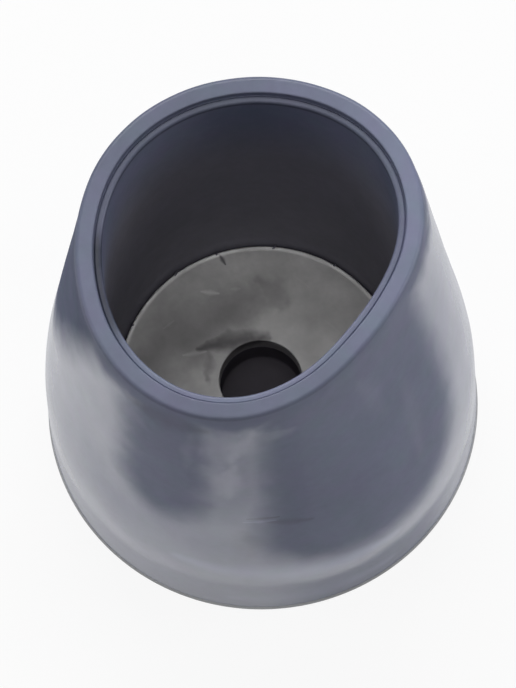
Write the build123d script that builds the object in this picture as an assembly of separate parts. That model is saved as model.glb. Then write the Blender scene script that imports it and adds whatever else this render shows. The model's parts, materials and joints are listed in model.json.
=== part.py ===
from build123d import *

import os
from math import radians, tan

# A moulded rubber tip for the foot of a cane or crutch, with a steel washer set in the floor of its socket.
# Millimetres, +Z up. The tip stands on its sole, and the origin is the centre of the sole.

# The rubber body
height = 41.0
sole_diameter = 38.0
bore_diameter = 25.4
mouth_wall = 2.2

# The foot: a sharp edge of flash round the sole, and above it a band that is almost upright
flash_overhang = 0.2
flash_thickness = 0.3
flash_run_out = 0.5
foot_band_height = 11.5
foot_band_draft_deg = 0.7
shoulder_radius = 60.0

# The mouth: a rounded outer edge, and a shallow step just inside the rim
mouth_edge_radius = 0.7
step_width = 0.7
step_depth = 0.5

# The tread moulded in the sole, from its centre outwards
boss_diameter = 9.0
inner_groove_width = 3.4
tread_ring_width = 3.3
outer_groove_width = 2.4
groove_depth = 2.5
groove_draft_deg = 4.0

# The mark that the mould's gate leaves in the centre of the boss
gate_dimple_diameter = 2.6
gate_dimple_depth = 0.45
gate_pip_diameter = 1.3

# The washer, and the rubber under it
washer_diameter = 24.9
washer_thickness = 1.6
washer_hole_diameter = 7.2
washer_edge_break = 0.2
washer_side_gap = 0.05
rubber_under_washer = 5.2

# The blind recess that the mould's core pin leaves below the washer's hole
pin_recess_inset = 0.25
pin_recess_depth = 2.7
pin_recess_draft_deg = 2.0

# How far each cutting shape runs past the face that it opens through
overrun = 1.0

# Radii and levels that follow from the sizes above
sole_radius = sole_diameter / 2
bore_radius = bore_diameter / 2
washer_radius = washer_diameter / 2
washer_hole_radius = washer_hole_diameter / 2
washer_top = rubber_under_washer + washer_thickness
inner_groove_start = boss_diameter / 2
outer_groove_start = inner_groove_start + inner_groove_width + tread_ring_width


def lean(rise, draft_deg):
    """How far a wall with this draft moves sideways over this rise."""
    return rise * tan(radians(draft_deg))


def turned(outline, rounded=()):
    """Turn an outline of (radius, height) corners about the axis, after rounding some of its corners."""
    face = make_face(Polyline(*outline, close=True))
    for corner, radius in rounded:
        nearest = face.vertices().sort_by_distance(Vector(*corner))[0]
        face = fillet(nearest, radius)
    return revolve(Plane.XZ * face, Axis.Z)


def flared_body():
    """The outside of the tip: foot band, shoulder and cone, still without its socket."""
    band_foot_level = flash_thickness + flash_run_out
    band_foot_radius = sole_radius - flash_overhang
    band_rise = foot_band_height - band_foot_level
    shoulder = (band_foot_radius - lean(band_rise, foot_band_draft_deg), foot_band_height)
    rim = (bore_radius + mouth_wall, height)
    outline = [
        (0, 0),
        (sole_radius, 0),
        (sole_radius, flash_thickness),
        (band_foot_radius, band_foot_level),
        shoulder,
        rim,
        (0, height),
    ]
    return turned(outline, [(shoulder, shoulder_radius), (rim, mouth_edge_radius)])


def socket():
    """The space that the tube fills, with the step inside the rim and the pocket that holds the washer."""
    pocket_radius = washer_radius + washer_side_gap
    step_level = height - step_depth
    top = height + overrun
    return turned([
        (0, rubber_under_washer),
        (pocket_radius, rubber_under_washer),
        (pocket_radius, washer_top),
        (bore_radius, washer_top),
        (bore_radius, step_level),
        (bore_radius + step_width, step_level),
        (bore_radius + step_width, top),
        (0, top),
    ])


def pin_recess():
    """The round blind recess in the rubber, seen through the washer's hole."""
    mouth_edge = washer_hole_radius - pin_recess_inset
    floor_edge = mouth_edge - lean(pin_recess_depth, pin_recess_draft_deg)
    floor_level = rubber_under_washer - pin_recess_depth
    top = rubber_under_washer + washer_thickness / 2
    return turned([
        (0, floor_level),
        (floor_edge, floor_level),
        (mouth_edge, rubber_under_washer),
        (mouth_edge, top),
        (0, top),
    ])


def sole_groove(start_radius, width):
    """One round groove of the tread, a little narrower at its root so that it leaves the mould."""
    narrowing = lean(groove_depth, groove_draft_deg)
    end_radius = start_radius + width
    return turned([
        (start_radius, -overrun),
        (end_radius, -overrun),
        (end_radius, 0),
        (end_radius - narrowing, groove_depth),
        (start_radius + narrowing, groove_depth),
        (start_radius, 0),
    ])


def gate_mark():
    """The sloping ring cut into the boss that clears the gate, with the pip that is left of it in its middle."""
    rim_radius = gate_dimple_diameter / 2
    pip_radius = gate_pip_diameter / 2
    return turned([
        (pip_radius, -overrun),
        (rim_radius, -overrun),
        (rim_radius, 0),
        (pip_radius, gate_dimple_depth),
    ])


def rubber_ferrule():
    """The whole moulding, in one piece."""
    body = flared_body() - socket() - pin_recess() - gate_mark()
    body -= sole_groove(inner_groove_start, inner_groove_width)
    body -= sole_groove(outer_groove_start, outer_groove_width)
    return body


def steel_washer():
    """The flat washer that keeps the tube's end from cutting through the rubber."""
    shoulder_level = washer_top - washer_edge_break
    return turned([
        (washer_hole_radius, rubber_under_washer),
        (washer_radius, rubber_under_washer),
        (washer_radius, shoulder_level),
        (washer_radius - washer_edge_break, washer_top),
        (washer_hole_radius + washer_edge_break, washer_top),
        (washer_hole_radius, shoulder_level),
    ])


nodes = {
    "rubber_ferrule": rubber_ferrule(),
    "steel_washer": steel_washer(),
}

os.makedirs("parts", exist_ok=True)
for name, shape in nodes.items():
    shape.label = name
    export_step(shape, f"parts/{name}.step")
    print(name, round(shape.volume, 1), "mm3")
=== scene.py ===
# %% [markdown]
# # A rubber cane tip
#
# The object is the rubber foot of a walking cane: one moulding of blue-grey rubber with a steel washer in its
# socket's floor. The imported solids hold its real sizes, and this script gives it its looks. Each step says
# what the piece or finish is on the real thing, how it could be made and why it is made so, and then makes
# it. Lengths are in metres.

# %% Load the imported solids
import json
import math

import bpy
import numpy as np
from mathutils import Matrix, Vector


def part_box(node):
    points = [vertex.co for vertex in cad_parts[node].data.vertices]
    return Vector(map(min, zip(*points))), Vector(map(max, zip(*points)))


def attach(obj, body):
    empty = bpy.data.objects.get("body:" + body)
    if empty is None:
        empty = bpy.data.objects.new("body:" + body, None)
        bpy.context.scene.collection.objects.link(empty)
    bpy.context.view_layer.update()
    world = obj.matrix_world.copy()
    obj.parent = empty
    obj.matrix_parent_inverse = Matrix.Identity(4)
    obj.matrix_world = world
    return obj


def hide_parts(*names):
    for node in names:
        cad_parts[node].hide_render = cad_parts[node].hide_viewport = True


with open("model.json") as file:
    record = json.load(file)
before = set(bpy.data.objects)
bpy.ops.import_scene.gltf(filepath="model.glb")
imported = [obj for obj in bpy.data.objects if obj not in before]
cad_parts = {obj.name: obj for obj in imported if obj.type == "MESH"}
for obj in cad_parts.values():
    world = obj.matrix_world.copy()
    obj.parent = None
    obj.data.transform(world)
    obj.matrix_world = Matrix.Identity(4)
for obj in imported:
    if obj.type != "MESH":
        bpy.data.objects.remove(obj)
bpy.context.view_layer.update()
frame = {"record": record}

# %% [markdown]
# ## Sizes
#
# The tip fits a cane tube of one inch, and the solids were drawn around that. The looks could be measured
# from the picture again, but then they would drift away from the construction. So what the frame can tell is
# read from it: the outer sizes from the boxes of the solids, and the bore from the socket's mount. A size
# that they don't hold is written where it is first needed.

# %% Sizes from the frame
MM = 0.001

_, ferrule_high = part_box("rubber_ferrule")
washer_low, washer_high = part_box("steel_washer")
socket_mount = next(mount for mount in frame["record"]["mounts"] if mount["name"] == "socket")

height = ferrule_high.z
sole_radius = ferrule_high.x
washer_radius = washer_high.x
washer_top = washer_high.z
washer_bottom = washer_low.z
bore_radius = socket_mount["dims"]["r_mm"] * MM
step_level = socket_mount["pos_m"][2] + socket_mount["dims"]["length_mm"] * MM / 2
print("height", height, "sole radius", sole_radius, "bore radius", bore_radius, "step at", step_level)

# %% [markdown]
# ## Camera
#
# The photograph looks down at the tip from about 70 degrees above the table. A camera can be placed by hand,
# but one that is worked out from a few numbers can be corrected one number at a time. It stands 650 mm away,
# which makes the mouth a little larger against the foot, as in the photograph, and a long lens fills the
# picture. The tip leans slightly to the left there, and a small roll repeats that.

# %% Camera
FRAME_HEIGHT_PX = 688
SENSOR_WIDTH = 36
CAMERA_ELEVATION = math.radians(70.3)
CAMERA_ROLL = math.radians(-4.6)
CAMERA_DISTANCE = 0.650
AIM_HEIGHT = 16.0 * MM
PIXELS_PER_METRE = 11300


def add_object(name, data):
    """A new object in the scene."""
    made = bpy.data.objects.new(name, data)
    bpy.context.scene.collection.objects.link(made)
    return made


camera_data = bpy.data.cameras.new("camera")
camera = add_object("camera", camera_data)
camera_data.sensor_width = SENSOR_WIDTH
camera_data.lens = PIXELS_PER_METRE * CAMERA_DISTANCE * SENSOR_WIDTH / FRAME_HEIGHT_PX
camera_data.clip_start = 0.01
camera_data.clip_end = 10
forward = Vector((0, math.cos(CAMERA_ELEVATION), -math.sin(CAMERA_ELEVATION)))
level_right = Vector((1, 0, 0))
level_up = level_right.cross(forward)
right = math.cos(CAMERA_ROLL) * level_right + math.sin(CAMERA_ROLL) * level_up
up = math.cos(CAMERA_ROLL) * level_up - math.sin(CAMERA_ROLL) * level_right
aim = Vector((0, 0, AIM_HEIGHT))
aim_distance = CAMERA_DISTANCE - AIM_HEIGHT * math.sin(CAMERA_ELEVATION)
turn_to_view = Matrix((right, up, -forward)).transposed().to_4x4()
camera.matrix_world = Matrix.Translation(aim - forward * aim_distance) @ turn_to_view
bpy.context.scene.camera = camera
print("lens", round(camera_data.lens), "mm")

# %% [markdown]
# ## Outlines to turn
#
# The rubber came out of a turned mould and the washer out of a round punch, so each is an outline turned
# about the axis. The outline could be drawn as a Bezier curve, but a list of corners is easier to measure and
# to change. The helper takes corners as (radius, height, rounding) and returns the finished outline. A
# rounded corner becomes a true arc. Straight runs get guard points close to their ends, which keep the smooth
# shading of a small edge from leaking over a wide flat.

# %% Outline helpers
ARC_STEPS = 5
GUARD = 0.12 * MM
LONGEST_RUN = 0.8 * MM
LARGEST_SHARE = 0.49


def corner_arc(before, corner, after, radius):
    """Points of the arc that rounds a corner between two neighbours."""
    to_before = (before - corner).normalized()
    to_after = (after - corner).normalized()
    half_angle = to_before.angle(to_after) / 2
    room = LARGEST_SHARE * min((before - corner).length, (after - corner).length)
    reach = min(radius / math.tan(half_angle), room)
    radius = reach * math.tan(half_angle)
    centre = corner + (to_before + to_after).normalized() * radius / math.sin(half_angle)
    start = corner + to_before * reach - centre
    end = corner + to_after * reach - centre
    steps = max(ARC_STEPS, math.ceil(start.angle(end) * radius / LONGEST_RUN))
    return [centre + start.slerp(end, i / steps) * radius for i in range(steps + 1)]


def guarded_run(start, end):
    """Points strictly between two ends of a straight run, close together near the ends."""
    length = (end - start).length
    if length < 4 * GUARD:
        return []
    inner = length - 2 * GUARD
    pieces = max(1, math.ceil(inner / LONGEST_RUN))
    return [start.lerp(end, (GUARD + inner * i / pieces) / length) for i in range(pieces + 1)]


def outline(corners):
    """A finished outline in the XZ plane from (radius, height, rounding) corners."""
    points = [Vector((r, 0, z)) for r, z, _ in corners]
    rounded = [[points[0]]]
    for i in range(1, len(points) - 1):
        rounding = corners[i][2]
        arc = corner_arc(points[i - 1], points[i], points[i + 1], rounding) if rounding else [points[i]]
        rounded.append(arc)
    rounded.append([points[-1]])
    finished = list(rounded[0])
    for arc in rounded[1:]:
        finished += guarded_run(finished[-1], arc[0]) + arc
    return finished


print("a sharp square corner gets", ARC_STEPS + 1, "points")

# %% [markdown]
# ## Turning with Geometry Nodes
#
# A lathe is a rule: the same outline at every angle. The Screw modifier or the Spin tool could follow it, but
# Curve to Mesh does it inside a node tree, where more can happen to the shape: the path is a small circle,
# and the outline is its profile. The tree is built once, for the rubber and the washer.
#
# The mouth of the real tip isn't quite round. It was pressed in its packing, so it is a little oval, off its
# centre and flatter on one side. It could be sculpted, but such a shape is also a sum of waves around the
# mouth: one shifts it, two make it oval and three give it three lobes. The tree adds these by named amounts
# that fade out down the wall. Soft rubber's skin isn't true either, so low hills of noise are added, and
# leave the foot's edge alone.

# %% Node helpers
class Tree:
    """A node tree under construction, with short ways to add nodes and sums."""

    def __init__(self, tree):
        self.tree = tree
        self.nodes = tree.nodes
        self.links = tree.links

    def socket(self, name, kind, default=None, out=False):
        in_out = "OUTPUT" if out else "INPUT"
        made = self.tree.interface.new_socket(name, in_out=in_out, socket_type="NodeSocket" + kind)
        if default is not None:
            made.default_value = default
        return made

    def node(self, kind, settings=None, **inputs):
        made = self.nodes.new(kind)
        for key, value in (settings or {}).items():
            setattr(made, key, value)
        self.fill(made, **inputs)
        return made

    def fill(self, node, **inputs):
        """Feeds a node's inputs, which are named with _ for a space."""
        for key, value in inputs.items():
            self.feed(node.inputs[key.replace("_", " ")], value)

    def feed(self, target, value):
        if isinstance(value, bpy.types.NodeSocket):
            self.links.new(value, target)
        else:
            target.default_value = value

    def feed_row(self, targets, values):
        for target, value in zip(targets, values):
            self.feed(target, value)

    def math(self, operation, *values):
        made = self.node("ShaderNodeMath", {"operation": operation})
        self.feed_row(made.inputs, values)
        return made.outputs[0]

    def times(self, first, second):
        return self.math("MULTIPLY", first, second)

    def minus(self, first, second):
        return self.math("SUBTRACT", first, second)

    def plus(self, start, value, factor):
        """A start value plus another value times a factor."""
        return self.math("MULTIPLY_ADD", value, factor, start)

    def ramp(self, value, low, high, easing="SMOOTHSTEP"):
        """Smooth rise from 0 to 1 from low to high. It falls where high is the smaller one."""
        settings = {"interpolation_type": easing}
        made = self.node("ShaderNodeMapRange", settings, Value=value, From_Min=low, From_Max=high)
        return made.outputs["Result"]

    def vector(self, operation, *values):
        made = self.node("ShaderNodeVectorMath", {"operation": operation})
        self.feed_row(made.inputs, values)
        return made.outputs["Value" if operation in ("DOT_PRODUCT", "LENGTH") else "Vector"]

    def scaled(self, vector, factor):
        """A vector times a number."""
        made = self.node("ShaderNodeVectorMath", {"operation": "SCALE"}, Vector=vector, Scale=factor)
        return made.outputs[0]

    def noise(self, vector, size, output="Fac", **inputs):
        """Noise with forms of about the given size."""
        spread = self.scaled(vector, self.math("DIVIDE", 1.0, size))
        return self.node("ShaderNodeTexNoise", Vector=spread, Scale=1.0, **inputs).outputs[output]

    def end_mesh(self, geometry, material):
        """Ends a geometry tree: smooth faces, instances made real, and the material set."""
        smooth = self.node("GeometryNodeSetShadeSmooth", Geometry=geometry, Shade_Smooth=True)
        real = self.node("GeometryNodeRealizeInstances", Geometry=smooth.outputs["Geometry"])
        painted = self.node("GeometryNodeSetMaterial", Geometry=real.outputs["Geometry"], Material=material)
        self.feed(self.nodes.new("NodeGroupOutput").inputs["Geometry"], painted.outputs["Geometry"])


# %% Turning, pressing and the skin's hills
STEPS_AROUND = 240
PATH_RADIUS = 1.0 * MM
MERGE_DISTANCE = 1e-7
HILLS_START = 1 * MM
HILLS_FULL = 6 * MM


def spun(t, line, steps):
    """A line of mesh edges turned about the axis, with doubled points on the axis merged."""
    profile = t.node("GeometryNodeMeshToCurve", Mesh=line).outputs["Curve"]
    placed = {"Translation": (-PATH_RADIUS, 0, 0), "Rotation": (math.pi / 2, 0, 0)}
    upright = t.node("GeometryNodeTransform", Geometry=profile, **placed).outputs["Geometry"]
    path = t.node("GeometryNodeCurvePrimitiveCircle", Resolution=steps, Radius=PATH_RADIUS).outputs["Curve"]
    turned = t.node("GeometryNodeCurveToMesh", Curve=path, Profile_Curve=upright).outputs["Mesh"]
    return t.node("GeometryNodeMergeByDistance", Geometry=turned, Distance=MERGE_DISTANCE).outputs["Geometry"]


def mouth_press(t, angle, level, shrink, waves, bend_from, bend_to):
    """How far a point is pressed outwards: waves of 1, 2 and 3 lobes, which fade out downwards."""
    press = t.times(shrink, -1.0)
    for lobes, (amount, direction) in enumerate(waves, start=1):
        turned = t.times(t.minus(angle, direction), float(lobes))
        press = t.plus(press, t.math("COSINE", turned), amount)
    return t.times(press, t.ramp(level, bend_from, bend_to, "SMOOTHERSTEP"))


def skin_hills(t, position, level, amount, length):
    """Low hills on the skin, which start above the foot's edge."""
    hills = t.times(t.minus(t.noise(position, length, Detail=1.0), 0.5), amount)
    return t.times(hills, t.ramp(level, HILLS_START, HILLS_FULL))


# %% The lathe tree
MOUTH_WAVES = ("Mouth Shift", "Mouth Oval", "Mouth Lobes")


def make_lathe_tree():
    """Turns the outline that it is given, and presses it out of round by named amounts."""
    t = Tree(bpy.data.node_groups.new("turned_outline", "GeometryNodeTree"))
    t.socket("Geometry", "Geometry")
    t.socket("Steps Around", "Int", STEPS_AROUND)
    t.socket("Wave Length", "Float", 0.01)
    t.socket("Bend To", "Float", 1.0)
    directions = [wave + " Angle" for wave in MOUTH_WAVES]
    for name in ("Skin Waves", "Mouth Shrink", "Bend From", *MOUTH_WAVES, *directions):
        t.socket(name, "Float", 0.0)
    t.socket("Material", "Material")
    t.socket("Geometry", "Geometry", out=True)
    given = t.nodes.new("NodeGroupInput").outputs

    position = t.node("GeometryNodeInputPosition").outputs[0]
    place = t.node("ShaderNodeSeparateXYZ", Vector=position).outputs
    angle = t.math("ARCTAN2", place["Y"], place["X"])
    waves = [(given[wave], given[direction]) for wave, direction in zip(MOUTH_WAVES, directions)]
    bend = given["Bend From"], given["Bend To"]
    press = mouth_press(t, angle, place["Z"], given["Mouth Shrink"], waves, *bend)
    hills = skin_hills(t, position, place["Z"], given["Skin Waves"], given["Wave Length"])
    outward = t.node("ShaderNodeCombineXYZ", X=t.math("COSINE", angle), Y=t.math("SINE", angle)).outputs[0]

    turned = spun(t, given["Geometry"], given["Steps Around"])
    push = t.scaled(outward, t.math("ADD", press, hills))
    bent = t.node("GeometryNodeSetPosition", Geometry=turned, Offset=push)
    t.end_mesh(bent.outputs["Geometry"], given["Material"])
    return t.tree


lathe_tree = make_lathe_tree()
print("the lathe tree has", len(lathe_tree.nodes), "nodes")


# %% Turning a piece
def modifier_input(modifier, name, value):
    """Sets a Geometry Nodes modifier's input, found by its name, through the socket's identifier."""
    for item in modifier.node_group.interface.items_tree:
        if item.item_type == "SOCKET" and item.in_out == "INPUT" and item.name == name:
            modifier[item.identifier] = value
            return
    raise KeyError(name)


def signed_volume(mesh):
    """The volume inside a closed mesh, in cubic metres. It is negative where the faces point inwards."""
    mesh.calc_loop_triangles()
    points = np.empty(len(mesh.vertices) * 3)
    mesh.vertices.foreach_get("co", points)
    triangles = np.empty(len(mesh.loop_triangles) * 3, dtype=int)
    mesh.loop_triangles.foreach_get("vertices", triangles)
    corners = points.reshape(-1, 3)[triangles.reshape(-1, 3)]
    return np.einsum("ij,ij->i", corners[:, 0], np.cross(corners[:, 1], corners[:, 2])).sum() / 6


def made_by_nodes(name, source_mesh, tree, inputs):
    """Runs a geometry tree on a mesh, and makes the result a new object of plain mesh that faces outwards."""
    source = add_object(name + "_source", source_mesh)
    modifier = source.modifiers.new("nodes", "NODES")
    modifier.node_group = tree
    for key, value in inputs.items():
        modifier_input(modifier, key, value)
    mesh = bpy.data.meshes.new_from_object(source.evaluated_get(bpy.context.evaluated_depsgraph_get()))
    bpy.data.objects.remove(source)
    mesh.name = name
    made = add_object(name, mesh)
    volume = signed_volume(mesh)
    if volume < 0:
        mesh.flip_normals()
    print(name, len(mesh.loop_triangles), "triangles,", round(abs(volume) / MM**3, 1), "mm3")
    return made


def turn(name, corners, inputs):
    """Turns an outline into a piece with the lathe tree, with the tree's inputs given by name."""
    points = outline(corners)
    line = bpy.data.meshes.new(name + "_outline")
    line.from_pydata(points, [(i, i + 1) for i in range(len(points) - 1)], [])
    return made_by_nodes(name, line, lathe_tree, inputs)


# %% [markdown]
# ## Shared finishes
#
# Rubber and steel both show clouds, smears and scratches. These could be painted on a picture and wrapped
# around the pieces, but a procedural effect has no seams, no fixed sharpness and no picture to carry along.
# Each effect is a small group of shader nodes, built once. A group gives a mask or a place, and each material
# decides what that does to its colour, gloss or relief. All read the piece's own coordinates in metres, so
# the marks stay on the piece however it is turned.

# %% Shader helpers
def new_material(name):
    """A new material, its node tree and its shader."""
    material = bpy.data.materials.new(name)
    material.use_nodes = True
    t = Tree(material.node_tree)
    return material, t, t.nodes["Principled BSDF"]


def group(name, inputs, output, kind="Float"):
    """A new shader node group with one output. Its inputs are given as names and defaults."""
    t = Tree(bpy.data.node_groups.new(name, "ShaderNodeTree"))
    for key, default in inputs.items():
        t.socket(key, "Vector" if isinstance(default, tuple) else "Float", default)
    t.socket(output, kind, out=True)
    given = t.nodes.new("NodeGroupInput").outputs
    return t, given, t.nodes.new("NodeGroupOutput").inputs[output]


def use(t, node_group, **inputs):
    """The output of a group that runs inside another tree."""
    return t.node("ShaderNodeGroup", {"node_tree": node_group}, **inputs).outputs[0]


def blend(t, share, first, second):
    """A colour between two colours."""
    made = t.node("ShaderNodeMix", {"data_type": "RGBA"})
    colours = [socket for socket in made.inputs if socket.type == "RGBA"]
    t.feed_row((made.inputs["Factor"], *colours), (share, first, second))
    return next(socket for socket in made.outputs if socket.type == "RGBA")


def from_axis(t, place):
    """A point's distance from the axis."""
    return t.math("SQRT", t.plus(t.times(place["Y"], place["Y"]), place["X"], place["X"]))


# %% Clouds group
def make_clouds():
    """Slow soft patches, such as fingers and storage leave on rubber and on plain steel."""
    t, given, mask_out = group("soft_clouds", {"Vector": (0, 0, 0), "Size": 0.01, "Contrast": 1.0}, "Mask")
    noise = t.noise(given["Vector"], given["Size"], Detail=3.0, Roughness=0.55)
    mask = t.plus(0.5, t.minus(noise, 0.5), given["Contrast"])
    mask.node.use_clamp = True
    t.feed(mask_out, mask)
    return t.tree


def cloudy(t, vector, size, contrast=1.0):
    """Clouds as a value between 0 and 1."""
    return use(t, clouds, Vector=vector, Size=size, Contrast=contrast)


def drift(t, vector, size, contrast=1.0):
    """Clouds as a value that swings about zero."""
    return t.minus(cloudy(t, vector, size, contrast), 0.5)


clouds = make_clouds()
print(clouds.name, len(clouds.nodes), "nodes")


# %% Ragged edges group
def make_ragged():
    """Pushes the place that a mark is looked up at to and fro, so that the mark loses its ruled outline."""
    inputs = {"Vector": (0, 0, 0), "Size": 0.001, "Amount": 0.001}
    t, given, place_out = group("ragged_edges", inputs, "Vector", "Vector")
    noise = t.noise(given["Vector"], given["Size"], "Color", Detail=2.0)
    push = t.scaled(t.vector("SUBTRACT", noise, (0.5, 0.5, 0.5)), given["Amount"])
    t.feed(place_out, t.vector("ADD", given["Vector"], push))
    return t.tree


ragged = make_ragged()
print(ragged.name, len(ragged.nodes), "nodes")

# %% Stroke group
THIN_END = 0.35
THICKENING = 1.3


def make_stroke():
    """A short scratch or crease: 1 on the line between two points, with a width that narrows to both ends."""
    places = {"Vector": (0, 0, 0), "Start": (0, 0, 0), "End": (0, 0, 0)}
    t, given, mask_out = group("short_stroke", {**places, "Width": 0.0002, "Softness": 0.7}, "Mask")
    along = t.vector("SUBTRACT", given["End"], given["Start"])
    here = t.vector("SUBTRACT", given["Vector"], given["Start"])
    part = t.math("DIVIDE", t.vector("DOT_PRODUCT", here, along), t.vector("DOT_PRODUCT", along, along))
    part.node.use_clamp = True
    away = t.vector("LENGTH", t.vector("SUBTRACT", here, t.scaled(along, part)))
    from_end = t.math("PINGPONG", part, 0.5)
    width = t.times(given["Width"], t.plus(THIN_END, from_end, THICKENING))
    core = t.times(width, t.minus(1.0, given["Softness"]))
    t.feed(mask_out, t.ramp(away, width, core))
    return t.tree


stroke = make_stroke()
print(stroke.name, len(stroke.nodes), "nodes")


# %% Sheen patch group
def make_sheen_patch():
    """A tongue around the piece that reaches from a rounded bottom upwards, and may lean on its way."""
    inputs = {
        "Angle": 0.0, "Height": 0.0, "Centre": 0.0, "Half Width": 0.3,
        "Softness": 0.1, "Lean": 0.0, "Bottom": 0.0, "Rounding": 0.01,
    }
    t, given, mask_out = group("sheen_patch", inputs, "Mask")
    climb = t.minus(given["Height"], given["Bottom"])
    centre = t.plus(given["Centre"], climb, given["Lean"])
    off = t.math("WRAP", t.minus(given["Angle"], centre), math.pi, -math.pi)
    across = t.math("DIVIDE", off, given["Half Width"])
    below = t.math("MAXIMUM", t.minus(1.0, t.math("DIVIDE", climb, given["Rounding"])), 0.0)
    reach = t.math("SQRT", t.plus(t.times(across, across), below, below))
    edge = t.math("DIVIDE", given["Softness"], given["Half Width"])
    t.feed(mask_out, t.ramp(reach, t.math("ADD", 1.0, edge), t.minus(1.0, edge)))
    return t.tree


sheen_patch = make_sheen_patch()
print(sheen_patch.name, len(sheen_patch.nodes), "nodes")

# %% [markdown]
# ## Rubber: the parts of one moulding
#
# One moulding carries several finishes. The flank, the flat lip, the ledge inside it, the socket and the
# blind hole below the washer all look a little different. They could be separate materials on separate faces,
# but then each border would be a hard line. Masks worked out from the piece's own coordinates fade into each
# other, so one material holds them all. The mouth was pressed out of round, so that press is taken off a
# point's distance from the axis before the ledge and the socket are looked for.

# %% Where a point of the rubber lies
MOUTH_SHRINK = 0.1 * MM
MOUTH_PRESS = (
    (0.40 * MM, math.radians(152)),
    (0.84 * MM, math.radians(53)),
    (0.42 * MM, math.radians(15)),
)
BEND_FROM = 14 * MM
FLANK_RADIUS = 17.5 * MM
step_width = 0.7 * MM
washer_hole_radius = 3.6 * MM
# Over what distance a mask fades out at its border.
FADE = 0.1 * MM
LEDGE_FADE = 0.3 * MM
LIP_FADE = 0.4 * MM
FLANK_FADE = 0.7 * MM
DEEP_FADE = 1 * MM


class Place:
    """Where a point of the rubber lies: its coordinates, and a mask for each part of the moulding."""

    def __init__(self, t):
        self.where = t.node("ShaderNodeTexCoord").outputs["Object"]
        place = t.node("ShaderNodeSeparateXYZ", Vector=self.where).outputs
        self.angle = t.math("ARCTAN2", place["Y"], place["X"])
        self.radius = from_axis(t, place)
        self.level = place["Z"]
        around = t.times(self.angle, FLANK_RADIUS)
        self.unrolled = t.node("ShaderNodeCombineXYZ", X=around, Y=self.level).outputs[0]

        press = mouth_press(t, self.angle, self.level, MOUTH_SHRINK, MOUTH_PRESS, BEND_FROM, height)
        unpressed = t.minus(self.radius, press)
        in_bore = t.ramp(unpressed, bore_radius + 3 * FADE, bore_radius + FADE)
        self.in_socket = t.times(in_bore, t.ramp(self.level, washer_bottom - DEEP_FADE, washer_bottom))
        in_core = t.ramp(self.radius, washer_hole_radius + FADE, washer_hole_radius)
        self.in_hole = t.times(in_core, t.ramp(self.level, DEEP_FADE, 2 * DEEP_FADE))

        lip_edge = height - FADE
        below_lip = t.ramp(self.level, lip_edge, lip_edge - FLANK_FADE)
        self.on_flank = t.times(t.minus(1.0, self.in_socket), below_lip)
        self.on_lip = t.ramp(self.level, lip_edge - LIP_FADE, lip_edge)
        inside_lip = t.ramp(unpressed, bore_radius + step_width, bore_radius + step_width - FADE)
        near_step = t.ramp(self.level, step_level - 2 * LEDGE_FADE, step_level - LEDGE_FADE)
        self.on_ledge = t.times(inside_lip, near_step)


print("the mouth was pressed by up to", round(sum(amount for amount, _ in MOUTH_PRESS) / MM, 2), "mm")

# %% [markdown]
# ## Rubber: shine
#
# A moulding shines where its mould was polished and where hands have rubbed it, and is dull where dust and
# bloom lie. Roughness alone can't show that, because a rougher rubber still turns light at a grazing view. So
# the rubber itself is fully matte, and the shine is a clear coat over it whose weight is one minus a mask of
# dullness. The dull places are a few broad tongues below the lip, the lip, the socket, and a band at the foot
# where the tip was wiped. Clouds move the tongues' edges, thin upright streaks cover the bright parts, and
# soft rubbed marks shine again inside them.

# %% Dull patches and rubbed marks
# Dull patches, from a rounded bottom up to the lip: centre, half width and softness in degrees, lean in
# degrees for each mm of height, bottom and height of the rounding in mm, how dull, and how much painted shade
# darkens the colour there.
DULL_PATCHES = (
    (298.5, 36.5, 8, 0.22, 9.5, 12, 0.80, 0.03),
    (277, 11, 9, 0.0, 13.5, 8, 0.83, 0.05),
    (239.5, 14.5, 8, 0.0, 18, 6, 0.82, 0.0),
    (254, 17, 8, 0.0, 20, 9, 0.40, 0.0),
    (138, 30, 12, 2.0, 17, 8, 0.97, 0.16),
    (104, 42, 26, 0.8, 11, 15, 0.82, 0.0),
    (26, 12, 10, 0.4, 12, 10, 0.70, 0.0),
)
# Marks on the flank, here and below: start and end as (degrees, mm of height), width in mm, and strength.
RUBBED_MARKS = (
    ((266, 38.0), (259, 33.0), 2.2, 0.55),
    ((260, 32.0), (257, 25.0), 2.0, 0.50),
    ((278, 36.0), (268, 37.5), 2.4, 0.25),
    ((248, 38.0), (246, 30.0), 1.2, 0.12),
    ((306, 37.0), (311, 29.0), 2.4, 0.10),
    ((322, 30.0), (317, 18.0), 2.0, 0.10),
)


def tongue(t, angle, level, centre, half_width, softness, lean, bottom, rounding):
    """A sheen patch, with its place in degrees and mm."""
    return use(
        t, sheen_patch, Angle=angle, Height=level, Centre=math.radians(centre),
        Half_Width=math.radians(half_width), Softness=math.radians(softness),
        Lean=math.radians(lean) / MM, Bottom=bottom * MM, Rounding=rounding * MM,
    )


def unrolled_point(degrees, level):
    """A point of the unrolled flank, where the front is at -90 degrees."""
    return (math.radians(degrees - 360) * FLANK_RADIUS, level * MM, 0)


def flank_mark(t, unrolled, start, end, width):
    """A soft stroke on the unrolled flank."""
    ends = {"Start": unrolled_point(*start), "End": unrolled_point(*end)}
    return use(t, stroke, Vector=unrolled, Width=width * MM, Softness=1.0, **ends)


print(len(DULL_PATCHES), "dull patches and", len(RUBBED_MARKS), "rubbed marks")

# %% Dullness of the flank
STREAK_STRETCH = (1.0, 0.18, 1.0)
STREAK_SIZE = 1.6 * MM
STREAK_DULLNESS = 0.10
# How far clouds move the patches' edges: in radians around the flank, and up and down.
SWING_AROUND = 0.16
FLUTTER_AROUND = 0.10
SWING_UP = 5 * MM
RAGGED_SIZE = 2.5 * MM


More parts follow.
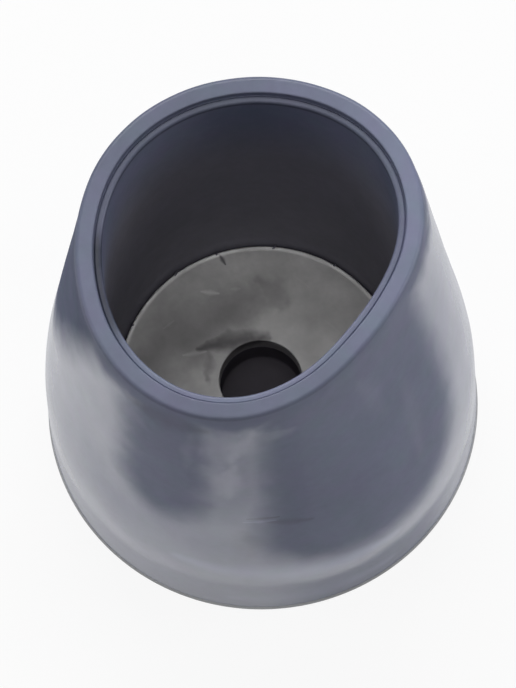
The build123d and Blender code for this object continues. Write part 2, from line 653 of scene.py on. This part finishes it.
def flank_dullness(t, at, swing, flutter):
    """How dull the flank is, and how much painted shade darkens it, with both limited to the flank."""
    angle = t.plus(t.plus(at.angle, swing, SWING_AROUND), flutter, FLUTTER_AROUND)
    level = t.plus(at.level, swing, SWING_UP)
    dull = 0.0
    shade = 0.0
    for *place, depth, darker in DULL_PATCHES:
        patch = tongue(t, angle, level, *place)
        dull = t.math("MAXIMUM", dull, t.times(patch, depth))
        # The darker amount is painted shade in the rubber's colour.
        if darker:
            shade = t.math("MAXIMUM", shade, t.times(patch, darker))
    blurred = use(t, ragged, Vector=at.unrolled, Size=RAGGED_SIZE, Amount=RAGGED_SIZE)
    for start, end, width, strength in RUBBED_MARKS:
        mark = flank_mark(t, blurred, start, end, width)
        dull = t.times(dull, t.plus(1.0, mark, -strength))
    stretched = t.vector("MULTIPLY", at.unrolled, STREAK_STRETCH)
    streaks = cloudy(t, stretched, STREAK_SIZE, 1.6)
    dull = t.math("MAXIMUM", dull, t.times(streaks, STREAK_DULLNESS))
    return t.times(dull, at.on_flank), t.times(shade, at.on_flank)


# %% Dullness of the foot and of the whole moulding
FOOT_DULLNESS = 0.20
WIPED_DULLNESS = 0.32
LIP_DULLNESS = 0.85
SOCKET_DULLNESS = 0.85
# The wiped side, in the order of the dull patches, with its bottom far below the sole.
WIPED_SIDE = (297, 23, 10, 0.0, -50, 10)
FOOT_DULL_TO = 5.0 * MM
FOOT_SHINES_FROM = 7.2 * MM
LIP_DULL_FROM = 1.0 * MM
LIP_SHINES_TO = 5.0 * MM


def foot_dullness(t, at, swing):
    """A slightly dull band around the foot, which is duller on the side where it was wiped."""
    wiped = tongue(t, at.angle, at.level, *WIPED_SIDE)
    low = t.ramp(t.plus(at.level, swing, 3 * MM), FOOT_SHINES_FROM, FOOT_DULL_TO)
    return t.times(low, t.plus(FOOT_DULLNESS, wiped, WIPED_DULLNESS))


def rubber_dullness(t, at):
    """How dull the moulding is, and how much painted shade darkens its dull patches."""
    swing = drift(t, at.where, 9 * MM)
    flutter = drift(t, at.where, 2.5 * MM)
    dull, shade = flank_dullness(t, at, swing, flutter)
    near_lip = t.ramp(t.plus(at.level, flutter, 4 * MM), height - LIP_SHINES_TO, height - LIP_DULL_FROM)
    for other in (
        t.times(near_lip, LIP_DULLNESS),
        t.times(at.in_socket, SOCKET_DULLNESS),
        at.in_hole,
        foot_dullness(t, at, swing),
    ):
        dull = t.math("MAXIMUM", dull, other)
    return dull, shade


# %% [markdown]
# ## Rubber: colour and relief
#
# The rubber is blue-grey and drifts between a greenish and a violet blue. Deep in the socket it is painted a
# paler grey, as painted light, and in the blind hole nearly black, as painted shade. The foot's sharp edge is
# worn pale and lightened further as a painted highlight. The lip is painted a little darker than the flank,
# and the ledge inside it darker still, mostly at the back and on the left: painted shade and shadow. Dull
# places are painted darker too, and a crease, a shadow below the lip and highlights along the shoulder and
# the foot are painted across the front. A single base colour would lose all this, so five colours are
# blended, and then multiplied by a tone that every effect adds to or takes from.
#
# The relief in the material is only what is too fine for the mesh: faint dents and the grain of the mould.

# %% Colour of the rubber
RUBBER = (0.188, 0.224, 0.306, 1)
RUBBER_VIOLET = (0.203, 0.209, 0.322, 1)
# Painted light: the socket's deep walls are given a paler, greyer colour than the rubber.
RUBBER_DEEP_PAINTED_LIGHT = (0.245, 0.236, 0.268, 1)
# Painted shade: the blind hole is given a dark colour.
RUBBER_HOLE_PAINTED_SHADE = (0.130, 0.120, 0.137, 1)
# Worn pale at the foot's edge, and lighter still as a painted highlight.
WORN_EDGE_AND_HIGHLIGHT = (0.43, 0.44, 0.46, 1)
DEEP_SHARE = 0.9
DEEP_FROM = 0.5 * MM
DEEPEST_FROM = 14 * MM
# Where the foot's edge is worn pale and lightened as a painted highlight: from and to which level, and how
# far in from the sole's radius.
WORN_LEVELS = (0.55 * MM, 0.25 * MM)
WORN_INSETS = (0.8 * MM, 0.3 * MM)
CLOUD_TONE = 0.16
FINE_TONE = 0.10
# Dull places are painted darker too, as painted shade.
DULL_PAINTED_SHADE = -0.10
# How much darker the lip and the ledge are, as painted shade and painted shadow, with waves around the mouth
# (amount, number, degrees of the peak) and one dark spot of painted shadow on the ledge (amount, degrees, and
# the cosines at its edge and in its core).
LIP_PAINTED_SHADE = 0.19
LIP_SHADE_WAVES = ((-0.09, 1, 0), (-0.08, 2, 10))
LEDGE_PAINTED_SHADOW = 0.26
LEDGE_SHADOW_WAVES = ((0.20, 1, 100),)
LEDGE_SHADOW_SPOT = (0.36, 191, 0.90, 0.98)
# Painted shade and highlights on the flank: the shade and highlight of a crease across the front, a painted
# shadow below the lip, painted highlights along the shoulder and low on the foot, and a streak of painted
# shade. A negative strength is darker.
PAINTED_LIGHT_MARKS = (
    ((263, 20.9), (272, 21.1), 0.45, -0.24),
    ((262, 20.2), (271, 20.5), 0.40, 0.32),
    ((268, 20.4), (281, 19.4), 1.10, -0.14),
    ((228, 38.5), (252, 38.5), 3.0, -0.20),
    ((244, 10.2), (304, 8.0), 3.4, 0.42),
    ((272, 8.6), (345, 7.6), 3.6, 0.08),
    ((262, 18.0), (263, 13.5), 3.0, -0.16),
    ((258, 2.5), (302, 2.5), 2.6, 0.20),
)


def wave_around(t, angle, number, peak):
    """A wave around the mouth, between -1 and 1."""
    return t.math("COSINE", t.plus(-number * math.radians(peak), angle, number))


def with_waves(t, angle, amount, waves):
    """An amount that rises and falls around the mouth."""
    for strength, number, peak in waves:
        amount = t.plus(amount, wave_around(t, angle, number, peak), strength)
    return amount


def rubber_tone(t, at, dull, shade, fine):
    """How light or dark the rubber is against its colour, with random clouds and painted shade and
    highlights: 1 is the colour itself.
    """
    tone = t.plus(1.0, drift(t, at.where, 5 * MM, 1.4), CLOUD_TONE)
    tone = t.plus(tone, fine, FINE_TONE)
    # Painted shade: dull places darker, and the dull patches' own painted shade taken off.
    tone = t.plus(tone, dull, DULL_PAINTED_SHADE)
    tone = t.minus(tone, shade)
    # Painted shade on the lip, which changes around the mouth.
    lip_painted_shade = with_waves(t, at.angle, LIP_PAINTED_SHADE, LIP_SHADE_WAVES)
    tone = t.minus(tone, t.times(at.on_lip, lip_painted_shade))
    # Painted shadow on the ledge: all around, more at the back, and a dark spot on the left.
    spot, spot_angle, spot_start, spot_full = LEDGE_SHADOW_SPOT
    at_spot = t.ramp(wave_around(t, at.angle, 1, spot_angle), spot_start, spot_full)
    ledge_painted_shadow = t.plus(with_waves(t, at.angle, LEDGE_PAINTED_SHADOW, LEDGE_SHADOW_WAVES), at_spot, spot)
    tone = t.minus(tone, t.times(at.on_ledge, ledge_painted_shadow))
    # Painted shade and highlights drawn as soft strokes on the flank.
    for start, end, width, strength in PAINTED_LIGHT_MARKS:
        tone = t.plus(tone, flank_mark(t, at.unrolled, start, end, width), strength)
    return tone


def rubber_colour(t, at, tone):
    """The rubber's colours, each where it belongs, times the tone: painted light deep in the socket, painted
    shade in the blind hole, and a worn foot edge lightened as a painted highlight.
    """
    colour = blend(t, cloudy(t, at.where, 3 * MM, 2.2), RUBBER, RUBBER_VIOLET)
    # Painted light deep in the socket, and painted shade in the blind hole.
    down = t.ramp(at.level, step_level - DEEP_FROM, step_level - DEEPEST_FROM)
    deep = t.times(t.times(at.in_socket, down), DEEP_SHARE)
    colour = blend(t, deep, colour, RUBBER_DEEP_PAINTED_LIGHT)
    colour = blend(t, at.in_hole, colour, RUBBER_HOLE_PAINTED_SHADE)
    # The foot's worn edge, lightened further as a painted highlight.
    outer = t.ramp(at.radius, *(sole_radius - inset for inset in WORN_INSETS))
    wear_and_highlight = t.times(t.ramp(at.level, *WORN_LEVELS), outer)
    return t.scaled(blend(t, wear_and_highlight, colour, WORN_EDGE_AND_HIGHLIGHT), tone)


# %% Rubber material
COAT_IOR = 1.95
COAT_ROUGHNESS = 0.20
RUBBER_ROUGHNESS = 0.46
FINE_ROUGHNESS = 0.12
DENT_RELIEF = 0.12
GRAIN_RELIEF = 0.006


def make_rubber():
    material, t, shader = new_material("grey_rubber")
    at = Place(t)
    fine = drift(t, at.where, 0.9 * MM, 1.2)
    dull, shade = rubber_dullness(t, at)
    t.fill(shader, Coat_Weight=t.minus(1.0, dull), Coat_IOR=COAT_IOR, Coat_Roughness=COAT_ROUGHNESS)
    t.fill(shader, Base_Color=rubber_colour(t, at, rubber_tone(t, at, dull, shade, fine)))
    t.fill(shader, Roughness=t.plus(RUBBER_ROUGHNESS, fine, FINE_ROUGHNESS), Specular_IOR_Level=0.0)

    dents = cloudy(t, at.where, 7 * MM)
    grain = cloudy(t, at.where, 0.25 * MM)
    relief = t.plus(t.times(dents, DENT_RELIEF), grain, GRAIN_RELIEF)
    bump = t.node("ShaderNodeBump", Height=relief, Strength=0.5, Distance=1 * MM)
    t.fill(shader, Normal=bump.outputs["Normal"])
    return material


rubber = make_rubber()
print(rubber.name, len(rubber.node_tree.nodes), "nodes")

# %% [markdown]
# ## Steel
#
# The washer is stamped from plain steel strip and tumbled, so it is dull, not bright. An even grey metal
# would look like plastic. What makes it steel is its uneven skin: cloudy grey patches, dark smears that
# fingers and the mould left near the hole, a nick at its edge, a few short bright scratches, and a worn burr
# around the rim, whose bright colour is also a painted highlight. Smears, nick and scratches are all strokes,
# wide and dark or narrow and bright, so one group draws them from three short lists. The roughness is high
# and swings with the grain.

# %% Marks on the washer
# Each mark: start and end (x, y) in mm, width in mm, and strength.
SMEARS = (
    ((-5.4, 3.4), (0.8, 4.1), 2.0, 0.85),
    ((-4.6, 0.4), (-4.3, 3.6), 1.5, 0.50),
    ((0.0, 7.3), (-1.4, 5.4), 1.2, 0.45),
    ((0.4, 9.2), (2.6, 6.6), 2.6, 0.40),
    ((-12.0, 1.6), (0.0, 7.6), 6.5, 0.50),
    ((-9.5, 2.0), (-5.0, -5.0), 4.0, 0.30),
    ((3.0, -8.2), (6.0, -7.0), 2.0, 0.40),
)
NICKS = (((-2.75, 11.9), (-2.3, 10.95), 0.34, 0.75),)
SCRATCHES = (
    ((-4.6, 8.6), (-3.1, 8.3), 0.42, 0.42),
    ((-2.0, 8.6), (-1.2, 8.6), 0.35, 0.14),
    ((-6.6, 2.8), (-4.6, 3.0), 0.44, 0.20),
    ((3.6, 9.4), (4.9, 8.2), 0.20, 0.10),
    ((6.0, 5.0), (7.1, 3.9), 0.20, 0.10),
    ((-8.2, 5.4), (-7.2, 6.1), 0.20, 0.10),
    ((4.8, -6.5), (6.9, -5.1), 0.30, 0.35),
    ((-5.5, -7.2), (-3.2, -7.9), 0.30, 0.30),
)


def stroke_mask(t, where, strokes):
    """The strongest of several soft strokes on the washer's top."""
    marked = 0.0
    for start, end, width, strength in strokes:
        ends = {key: (x * MM, y * MM, washer_top) for key, (x, y) in (("Start", start), ("End", end))}
        mark = use(t, stroke, Vector=where, Width=width * MM, Softness=1.0, **ends)
        marked = t.math("MAXIMUM", marked, t.times(mark, strength))
    return marked


print(len(SMEARS), "smears,", len(NICKS), "nick and", len(SCRATCHES), "scratches")

# %% Steel material
STEEL_DARK = (0.430, 0.424, 0.420, 1)
STEEL_LIGHT = (0.590, 0.585, 0.578, 1)
SMEAR = (0.10, 0.095, 0.10, 1)
NICK = (0.05, 0.045, 0.06, 1)
SCRATCH = (0.80, 0.80, 0.79, 1)
WORN_BURR_AND_HIGHLIGHT = (0.85, 0.85, 0.84, 1)
STEEL_ROUGHNESS = 0.58
FINE_STEEL_ROUGHNESS = 0.14
STEEL_TONE = 0.90
FINE_STEEL_TONE = 0.20
# How far in from the rim the worn burr and its painted highlight show, how bright they are at least, and how
# much their clouds add.
BURR_FROM = 0.45 * MM
BURR_FULL = 0.20 * MM
BURR_LEAST = 0.25
BURR_CLOUDS = 0.6


def steel_colour(t, where, fine):
    colour = blend(t, cloudy(t, where, 3.4 * MM, 2.4), STEEL_DARK, STEEL_LIGHT)
    loose = use(t, ragged, Vector=where, Size=1.6 * MM, Amount=1.5 * MM)
    colour = blend(t, stroke_mask(t, loose, SMEARS), colour, SMEAR)
    colour = blend(t, stroke_mask(t, where, NICKS), colour, NICK)
    colour = blend(t, stroke_mask(t, where, SCRATCHES), colour, SCRATCH)
    radius = from_axis(t, t.node("ShaderNodeSeparateXYZ", Vector=where).outputs)
    # The worn burr at the rim, also painted bright as a highlight.
    at_rim = t.ramp(radius, washer_radius - BURR_FROM, washer_radius - BURR_FULL)
    wear_and_highlight = t.plus(BURR_LEAST, cloudy(t, where, 2.2 * MM, 3.0), BURR_CLOUDS)
    colour = blend(t, t.times(at_rim, wear_and_highlight), colour, WORN_BURR_AND_HIGHLIGHT)
    return t.scaled(colour, t.plus(STEEL_TONE, fine, FINE_STEEL_TONE))


def make_steel():
    material, t, shader = new_material("washer_steel")
    where = t.node("ShaderNodeTexCoord").outputs["Object"]
    fine = cloudy(t, where, 0.6 * MM, 1.8)
    t.fill(shader, Base_Color=steel_colour(t, where, fine), Metallic=1.0)
    t.fill(shader, Roughness=t.plus(STEEL_ROUGHNESS, fine, FINE_STEEL_ROUGHNESS))
    grain = cloudy(t, where, 0.3 * MM)
    bump = t.node("ShaderNodeBump", Height=grain, Strength=0.3, Distance=0.03 * MM)
    t.fill(shader, Normal=bump.outputs["Normal"])
    return material


steel = make_steel()
print(steel.name, len(steel.node_tree.nodes), "nodes")

# %% [markdown]
# ## The rubber moulding
#
# The moulding is the whole tip: a sole with a tread of two grooves and a centre boss, where the mould's gate
# left a small dimple, a foot band that stands almost upright, a flank that runs into it in one long curve, a
# flat lip with a narrow ledge inside it, and the socket down to the washer's pocket. It could be a subdivided
# cylinder pushed into shape, but every one of these forms is round, so one outline from the middle of the
# sole to the middle of the blind hole holds them all.
#
# Where the flat lip drops to the ledge, the core of the mould left a fine crease, which shows as a dark line.
# A soft edge of the washer's pocket leaves a thin dark gap around the washer.

# %% Outline of the sole
groove_depth = 2.5 * MM
groove_draft = math.radians(4.0)
boss_radius = 4.5 * MM
inner_groove_width = 3.4 * MM
tread_ring_width = 3.3 * MM
outer_groove_width = 2.4 * MM
outer_groove_start = boss_radius + inner_groove_width + tread_ring_width
gate_dimple_radius = 1.3 * MM
gate_dimple_depth = 0.45 * MM
gate_pip_radius = 0.65 * MM


def groove_corners(start_radius, width):
    """The corners of one sole groove, from its inner edge to its outer edge."""
    narrowing = groove_depth * math.tan(groove_draft)
    edge = 0.15 * MM
    root = 0.5 * MM
    return [
        (start_radius, 0, edge),
        (start_radius + narrowing, groove_depth, root),
        (start_radius + width - narrowing, groove_depth, root),
        (start_radius + width, 0, edge),
    ]


sole_corners = [
    (0, 0, 0),
    (gate_pip_radius, 0, 0.15 * MM),
    (gate_pip_radius, gate_dimple_depth, 0.1 * MM),
    (gate_dimple_radius, 0, 0.2 * MM),
    *groove_corners(boss_radius, inner_groove_width),
    *groove_corners(outer_groove_start, outer_groove_width),
]
print("the outer groove ends", round((outer_groove_start + outer_groove_width) / MM, 2), "mm from the axis")

# %% Outline of the foot and flank
flash_overhang = 0.12 * MM
flash_thickness = 0.12 * MM
flash_run_out = 0.15 * MM
foot_band_height = 11.5 * MM
foot_band_draft = math.radians(0.7)
mouth_wall = 2.2 * MM
mouth_radius = bore_radius + mouth_wall

band_foot_radius = sole_radius - flash_overhang
band_foot_level = flash_thickness + flash_run_out
shoulder_radius = band_foot_radius - (foot_band_height - band_foot_level) * math.tan(foot_band_draft)
flank_corners = [
    (sole_radius, 0, 0.05 * MM),
    (sole_radius, flash_thickness, 0.1 * MM),
    (band_foot_radius, band_foot_level, 0.6 * MM),
    (shoulder_radius, foot_band_height, 60 * MM),
    (mouth_radius, height, 0.4 * MM),
]
print("the flank narrows from", round(shoulder_radius / MM, 2), "to", round(mouth_radius / MM, 2), "mm")

# %% Outline of the mouth and socket
step_crease_width = 0.18 * MM
step_crease_depth = 0.26 * MM
washer_side_gap = 0.12 * MM
pocket_radius = washer_radius + washer_side_gap
socket_narrows_from = washer_top + 1.5 * MM
pocket_wall_from = washer_top - 0.4 * MM
pin_recess_inset = 0.02 * MM
pin_recess_depth = 2.7 * MM
pin_recess_radius = washer_hole_radius - pin_recess_inset
pin_recess_floor = washer_bottom - pin_recess_depth

socket_corners = [
    (bore_radius + step_width, height, 0.15 * MM),
    (bore_radius + step_width, step_level - step_crease_depth, 0.06 * MM),
    (bore_radius + step_width - step_crease_width, step_level, 0.1 * MM),
    (bore_radius, step_level, 0.35 * MM),
    (bore_radius, socket_narrows_from, 0.1 * MM),
    (pocket_radius, pocket_wall_from, 0.05 * MM),
    (pocket_radius, washer_bottom, 0.05 * MM),
    (pin_recess_radius, washer_bottom, 0.1 * MM),
    (pin_recess_radius, pin_recess_floor, 0.2 * MM),
    (0, pin_recess_floor, 0),
]
print("the blind hole's floor is", round(pin_recess_floor / MM, 2), "mm above the ground")

# %% Rubber ferrule
press_inputs = {}
for wave, (amount, direction) in zip(MOUTH_WAVES, MOUTH_PRESS):
    press_inputs[wave] = amount
    press_inputs[wave + " Angle"] = direction
ferrule = turn(
    "ferrule_moulding",
    sole_corners + flank_corners + socket_corners,
    {
        "Material": rubber,
        "Skin Waves": 0.16 * MM,
        "Wave Length": 7 * MM,
        "Mouth Shrink": MOUTH_SHRINK,
        "Bend From": BEND_FROM,
        "Bend To": height,
        **press_inputs,
    },
)
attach(ferrule, "root")
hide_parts("rubber_ferrule")

# %% [markdown]
# ## The washer
#
# The washer lies on the socket's floor and keeps the end of the tube from cutting through the rubber. A punch
# made it, so one side has soft edges and the other a raised burr, which has been rubbed bright and is painted
# brighter still as a highlight. A plain cylinder with a hole would do from far away, but the burr is what
# catches the light at the rim, so the washer gets its own outline and goes through the same lathe, with no
# waves.

# %% Steel washer
BURR_HEIGHT = 0.07 * MM
BURR_WIDTH = 0.42 * MM
washer_corners = [
    (washer_hole_radius, washer_bottom, 0),
    (washer_radius, washer_bottom, 0.05 * MM),
    (washer_radius, washer_top + BURR_HEIGHT, 0.12 * MM),
    (washer_radius - BURR_WIDTH, washer_top, 0.15 * MM),
    (washer_hole_radius, washer_top, 0.12 * MM),
    (washer_hole_radius, washer_bottom, 0),
]
washer = turn("floor_washer", washer_corners, {"Material": steel})
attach(washer, "root")
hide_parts("steel_washer")

# %% [markdown]
# ## Rubber crumbs on the washer's rim
#
# When the washer is pressed into its seat it shaves dark crumbs off the rubber, and they stay on its rim.
# They could be modelled one by one, but a Geometry Nodes tree can put a rough lump on each point of a small
# mesh, with a random size and turn from a fixed seed. Points at chosen angles put most where the picture
# shows the rim, and three on its hidden side.

# %% The crumb tree
LUMP_SWELL = 1.3
SMALLEST_CRUMB = (0.7, 0.5, 0.4)
LARGEST_CRUMB = (1.5, 1.0, 0.7)


def rough_lump(t):
    """A ball pushed in and out by noise."""
    ball = t.node("GeometryNodeMeshIcoSphere", Radius=1.0, Subdivisions=3).outputs["Mesh"]
    noise = t.node("ShaderNodeTexNoise", Scale=1.7, Detail=2.0).outputs["Fac"]
    swell = t.times(t.minus(noise, 0.5), LUMP_SWELL)
    push = t.scaled(t.node("GeometryNodeInputNormal").outputs[0], swell)
    return t.node("GeometryNodeSetPosition", Geometry=ball, Offset=push).outputs["Geometry"]


def random_vector(t, seed, low, high):
    settings = {"data_type": "FLOAT_VECTOR"}
    return t.node("FunctionNodeRandomValue", settings, Seed=seed, Min=low, Max=high).outputs["Value"]


def make_crumb_tree():
    t = Tree(bpy.data.node_groups.new("rubber_crumbs", "GeometryNodeTree"))
    t.socket("Geometry", "Geometry")
    t.socket("Crumb Size", "Float", 0.0003)
    t.socket("Seed", "Int", 1)
    t.socket("Material", "Material")
    t.socket("Geometry", "Geometry", out=True)
    given = t.nodes.new("NodeGroupInput").outputs
    turns = random_vector(t, given["Seed"], (0, 0, 0), (math.tau, math.tau, math.tau))
    sizes = random_vector(t, given["Seed"], SMALLEST_CRUMB, LARGEST_CRUMB)
    placed = t.node(
        "GeometryNodeInstanceOnPoints",
        Points=given["Geometry"],
        Instance=rough_lump(t),
        Rotation=turns,
        Scale=t.scaled(sizes, given["Crumb Size"]),
    )
    t.end_mesh(placed.outputs["Instances"], given["Material"])
    return t.tree


crumb_tree = make_crumb_tree()
print("the crumb tree has", len(crumb_tree.nodes), "nodes")

# %% Rubber crumbs
# Each crumb: its angle in degrees and its distance from the axis in mm.
CRUMBS = (
    (123, 12.38), (121, 12.45), (104, 12.35), (80, 12.38), (54, 12.42),
    (31, 12.42), (151, 12.38), (205, 12.40), (262, 12.40), (318, 12.38),
)
CRUMB_LIFT = 0.05 * MM
crumb_points = [
    (r * MM * math.cos(math.radians(a)), r * MM * math.sin(math.radians(a)), washer_top + CRUMB_LIFT)
    for a, r in CRUMBS
]
crumb_mesh = bpy.data.meshes.new("crumb_points")
crumb_mesh.from_pydata(crumb_points, [], [])
crumbs = made_by_nodes(
    "rim_crumbs", crumb_mesh, crumb_tree, {"Material": rubber, "Crumb Size": 0.17 * MM, "Seed": 4}
)
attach(crumbs, "root")

# %% [markdown]
# ## Floor
#
# The tip stands on plain white ground. A floor lit until it is white would also flood the object with light.
# So the floor is an ordinary pale one for the light on the rubber, and mostly plain white only for rays from
# the eye, from gloss or through glass. The rest of the ordinary floor keeps the object's shadow. The floor is
# a hair below the sole, so the two never fight for the same place.

# %% Floor
FLOOR_LEVEL = -0.05 * MM
FLOOR_REACH = 2.0
FLOOR_WHITE_SHARE = 0.90
FLOOR_COLOUR = (0.8, 0.8, 0.8, 1)


def show_white(t, plain, white, share, target):
    """Sends two shaders to an output: plain for light on the object, and a share of white for the eye."""
    path = t.node("ShaderNodeLightPath").outputs
    seen = t.math("MAXIMUM", path["Is Camera Ray"], path["Is Glossy Ray"])
    seen = t.math("MAXIMUM", seen, path["Is Transmission Ray"])
    mix = t.node("ShaderNodeMixShader")
    t.feed_row(mix.inputs, (t.times(seen, share), plain, white))
    t.feed(target, mix.outputs[0])


def make_floor_material():
    material, t, shader = new_material("pale_floor")
    t.fill(shader, Base_Color=FLOOR_COLOUR, Roughness=1.0, Specular_IOR_Level=0.0)
    white = t.node("ShaderNodeEmission", Strength=1.0)
    surface = t.nodes["Material Output"].inputs["Surface"]
    show_white(t, shader.outputs[0], white.outputs[0], FLOOR_WHITE_SHARE, surface)
    return material


floor_mesh = bpy.data.meshes.new("floor")
floor_corners = [
    (x * FLOOR_REACH, y * FLOOR_REACH, FLOOR_LEVEL) for x, y in ((-1, -1), (1, -1), (1, 1), (-1, 1))
]
floor_mesh.from_pydata(floor_corners, [], [(0, 1, 2, 3)])
floor = add_object("floor", floor_mesh)
floor_mesh.materials.append(make_floor_material())
print("the floor is", 2 * FLOOR_REACH, "m wide")

# %% [markdown]
# ## Light
#
# The photograph was lit by broad soft light, mostly from behind and above, and its white surroundings show in
# the rubber's shine. A studio picture wrapped around the world could do that. Five large lamps are plainer,
# and their powers can be set one by one: each was rendered alone, and the mix nearest to the photograph was
# worked out from those pictures. Together they show a flat colour as it was written. The world is white for
# the eye and for gloss, and nearly black for the light on the object.

# %% Lamps
LAMP_AIM = Vector((0, 0, 20 * MM))
# Each lamp: where it stands and its width and height, in metres, and its power in watts.
LAMPS = {
    "back_softbox": ((0.0, 0.42, 0.45), (0.50, 0.30), 2.63),
    "top_softbox": ((0.0, 0.08, 0.62), (0.40, 0.40), 0.76),
    "high_front_softbox": ((0.0, -0.25, 0.58), (0.35, 0.25), 0.45),
    "left_softbox": ((-0.50, 0.0, 0.30), (0.25, 0.35), 0.46),
    "right_softbox": ((0.50, 0.0, 0.30), (0.25, 0.35), 0.85),
}
for name, (stand, size, power) in LAMPS.items():
    lamp_data = bpy.data.lights.new(name, "AREA")
    lamp_data.shape = "RECTANGLE"
    lamp_data.size, lamp_data.size_y = size
    lamp_data.energy = power
    lamp = add_object(name, lamp_data)
    lamp.location = stand
    lamp.rotation_euler = (LAMP_AIM - Vector(stand)).to_track_quat("-Z", "Y").to_euler()
print("lamps of", round(sum(power for _, _, power in LAMPS.values()), 2), "W in all")

# %% World
AMBIENT_STRENGTH = 0.05
WHITE = (1, 1, 1, 1)

world = bpy.data.worlds.new("studio")
world.use_nodes = True
world_tree = Tree(world.node_tree)
ambient = world_tree.nodes["Background"]
world_tree.fill(ambient, Color=WHITE, Strength=AMBIENT_STRENGTH)
backdrop = world_tree.node("ShaderNodeBackground", Color=WHITE, Strength=1.0)
world_surface = world_tree.nodes["World Output"].inputs["Surface"]
show_white(world_tree, ambient.outputs[0], backdrop.outputs[0], 1.0, world_surface)
bpy.context.scene.world = world
bpy.context.scene.view_settings.view_transform = "Standard"
print("ambient light", AMBIENT_STRENGTH)
